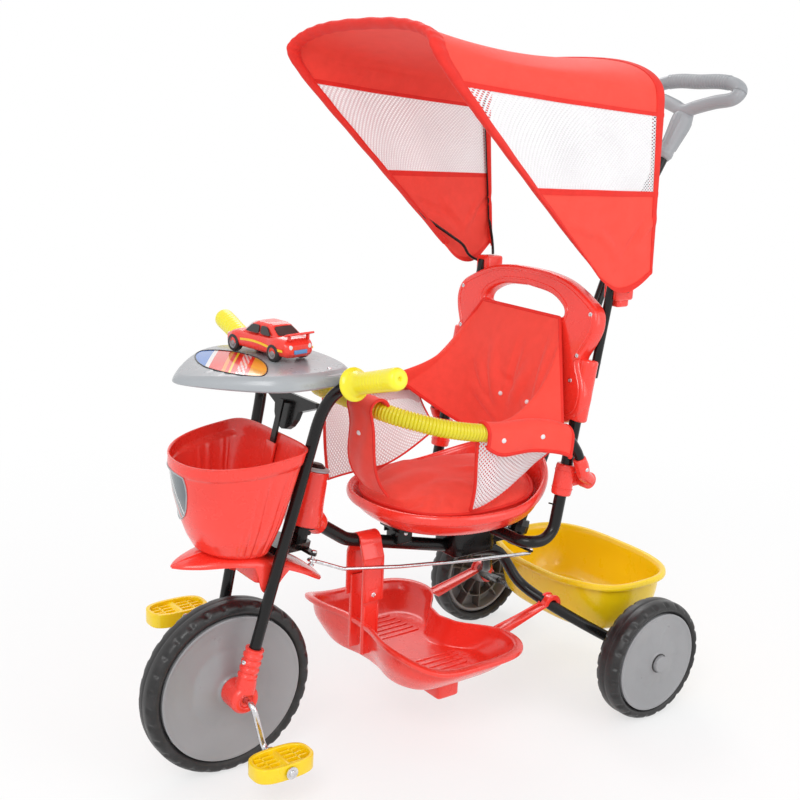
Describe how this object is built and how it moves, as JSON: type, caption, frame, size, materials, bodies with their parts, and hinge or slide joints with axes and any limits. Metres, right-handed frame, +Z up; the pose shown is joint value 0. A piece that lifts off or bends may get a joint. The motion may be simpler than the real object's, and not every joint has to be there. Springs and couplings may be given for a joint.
{
  "type": "child's push tricycle",
  "caption": "Child's tricycle with steered fork, pedals, padded seat inside a guard ring, folding canopy, baskets, foot tray and a rear push pole that steers",
  "frame": {"origin": "on the floor under the middle of the bounding box", "axes": "+Z up, -Y forward towards the front wheel, +X to the rider's left"},
  "size_m": [0.481, 0.9892, 1.0162],
  "materials": {
    "red_plastic": "glossy red moulded plastic",
    "red_fabric": "woven red polyester",
    "black_paint": "gloss black powder coat",
    "black_rubber": "smooth black foam tyre",
    "grey_plastic": "grey moulded plastic",
    "yellow_plastic": "glossy yellow moulded plastic",
    "lemon_plastic": "soft lemon-yellow plastic",
    "white_mesh": "white polyester net",
    "steel": "bright plated steel"
  },
  "bodies": {
    "frame": {"main_tube": "black_paint", "head_tube": "black_paint", "head_cover": "red_plastic", "rear_leg_left": "black_paint", "rear_leg_right": "black_paint", "rear_axle": "steel", "seat_bracket": "black_paint", "backrest_tube": "black_paint", "seat_base": "red_plastic", "seat_back": "red_plastic", "canopy_post_left": "black_paint", "canopy_post_right": "black_paint", "canopy_block_left": "red_plastic", "canopy_block_right": "red_plastic", "canopy_rear_bow": "black_paint", "pole_hub": "black_paint", "guard_ring": "black_paint", "guard_sleeve": "lemon_plastic", "ring_clamp_left": "red_plastic", "ring_clamp_right": "red_plastic", "ring_socket_left": "red_plastic", "ring_socket_right": "red_plastic", "seat_cover_back": "red_fabric", "seat_cushion": "red_fabric", "crotch_strap": "red_fabric", "seat_mesh_left": "white_mesh", "seat_mesh_right": "white_mesh", "rear_basket": "yellow_plastic", "foot_tray": "red_plastic", "tray_strap_left": "red_plastic", "tray_strap_right": "red_plastic", "canopy_cover": "red_fabric"},
    "fork": {"steering_stem": "black_paint", "fork_leg_left": "black_paint", "fork_leg_right": "black_paint", "stem_plate": "black_paint", "grip_left": "lemon_plastic", "grip_right": "lemon_plastic", "console": "grey_plastic", "toy_car": "red_plastic", "front_basket": "red_plastic", "mudguard": "red_plastic", "fork_end_left": "red_plastic", "fork_end_right": "red_plastic"},
    "front_wheel": {"front_wheel_tyre": "black_rubber", "front_wheel_disc": "grey_plastic", "crank": "steel"},
    "left_pedal": {"pedal_left": "yellow_plastic"},
    "right_pedal": {"pedal_right": "yellow_plastic"},
    "left_rear_wheel": {"rear_wheel_left_tyre": "black_rubber", "rear_wheel_left_disc": "grey_plastic", "hub_cap_left": "grey_plastic"},
    "right_rear_wheel": {"rear_wheel_right_tyre": "black_rubber", "rear_wheel_right_disc": "grey_plastic", "hub_cap_right": "grey_plastic"},
    "pole": {"push_pole": "black_paint", "push_handle": "grey_plastic"},
    "rod": {"steering_rod": "steel"},
    "front_bow": {"canopy_front_bow": "black_paint"}
  },
  "joints": [
    {"name": "steer", "type": "hinge", "parent": "frame", "child": "fork", "pos_m": [0, -0.25559, 0.32593], "axis": [0, 0.2334, 0.9724], "range_deg": [-35, 35]},
    {"name": "front_wheel_spin", "type": "hinge", "parent": "fork", "child": "front_wheel", "pos_m": [0, -0.36965, 0.125], "axis": [1, 0, 0], "continuous": true},
    {"name": "pedal_spin_left", "type": "hinge", "parent": "front_wheel", "child": "left_pedal", "pos_m": [0.128, -0.35665, 0.06387], "axis": [1, 0, 0], "continuous": true},
    {"name": "pedal_spin_right", "type": "hinge", "parent": "front_wheel", "child": "right_pedal", "pos_m": [-0.128, -0.38264, 0.18613], "axis": [1, 0, 0], "continuous": true},
    {"name": "rear_wheel_spin_left", "type": "hinge", "parent": "frame", "child": "left_rear_wheel", "pos_m": [0.208, 0.24935, 0.0945], "axis": [1, 0, 0], "continuous": true},
    {"name": "rear_wheel_spin_right", "type": "hinge", "parent": "frame", "child": "right_rear_wheel", "pos_m": [-0.208, 0.24935, 0.0945], "axis": [1, 0, 0], "continuous": true},
    {"name": "push_pole_turn", "type": "hinge", "parent": "frame", "child": "pole", "pos_m": [0, 0.14235, 0.232], "axis": [0, 0.3625, 0.932], "range_deg": [-35, 35]},
    {"name": "rod_pivot", "type": "hinge", "parent": "pole", "child": "rod", "pos_m": [0.042, 0.14344, 0.2348], "axis": [0, 0.3625, 0.932], "range_deg": [-35, 35]},
    {"name": "canopy_fold", "type": "hinge", "parent": "frame", "child": "front_bow", "pos_m": [0, 0.18435, 0.662], "axis": [-1, 0, 0], "range_deg": [0, 35], "deforming": ["canopy_cover"]}
  ],
  "couplings": [
    {"joint": "push_pole_turn", "follows": "steer", "ratio": 1},
    {"joint": "rod_pivot", "follows": "steer", "ratio": -1}
  ]
}
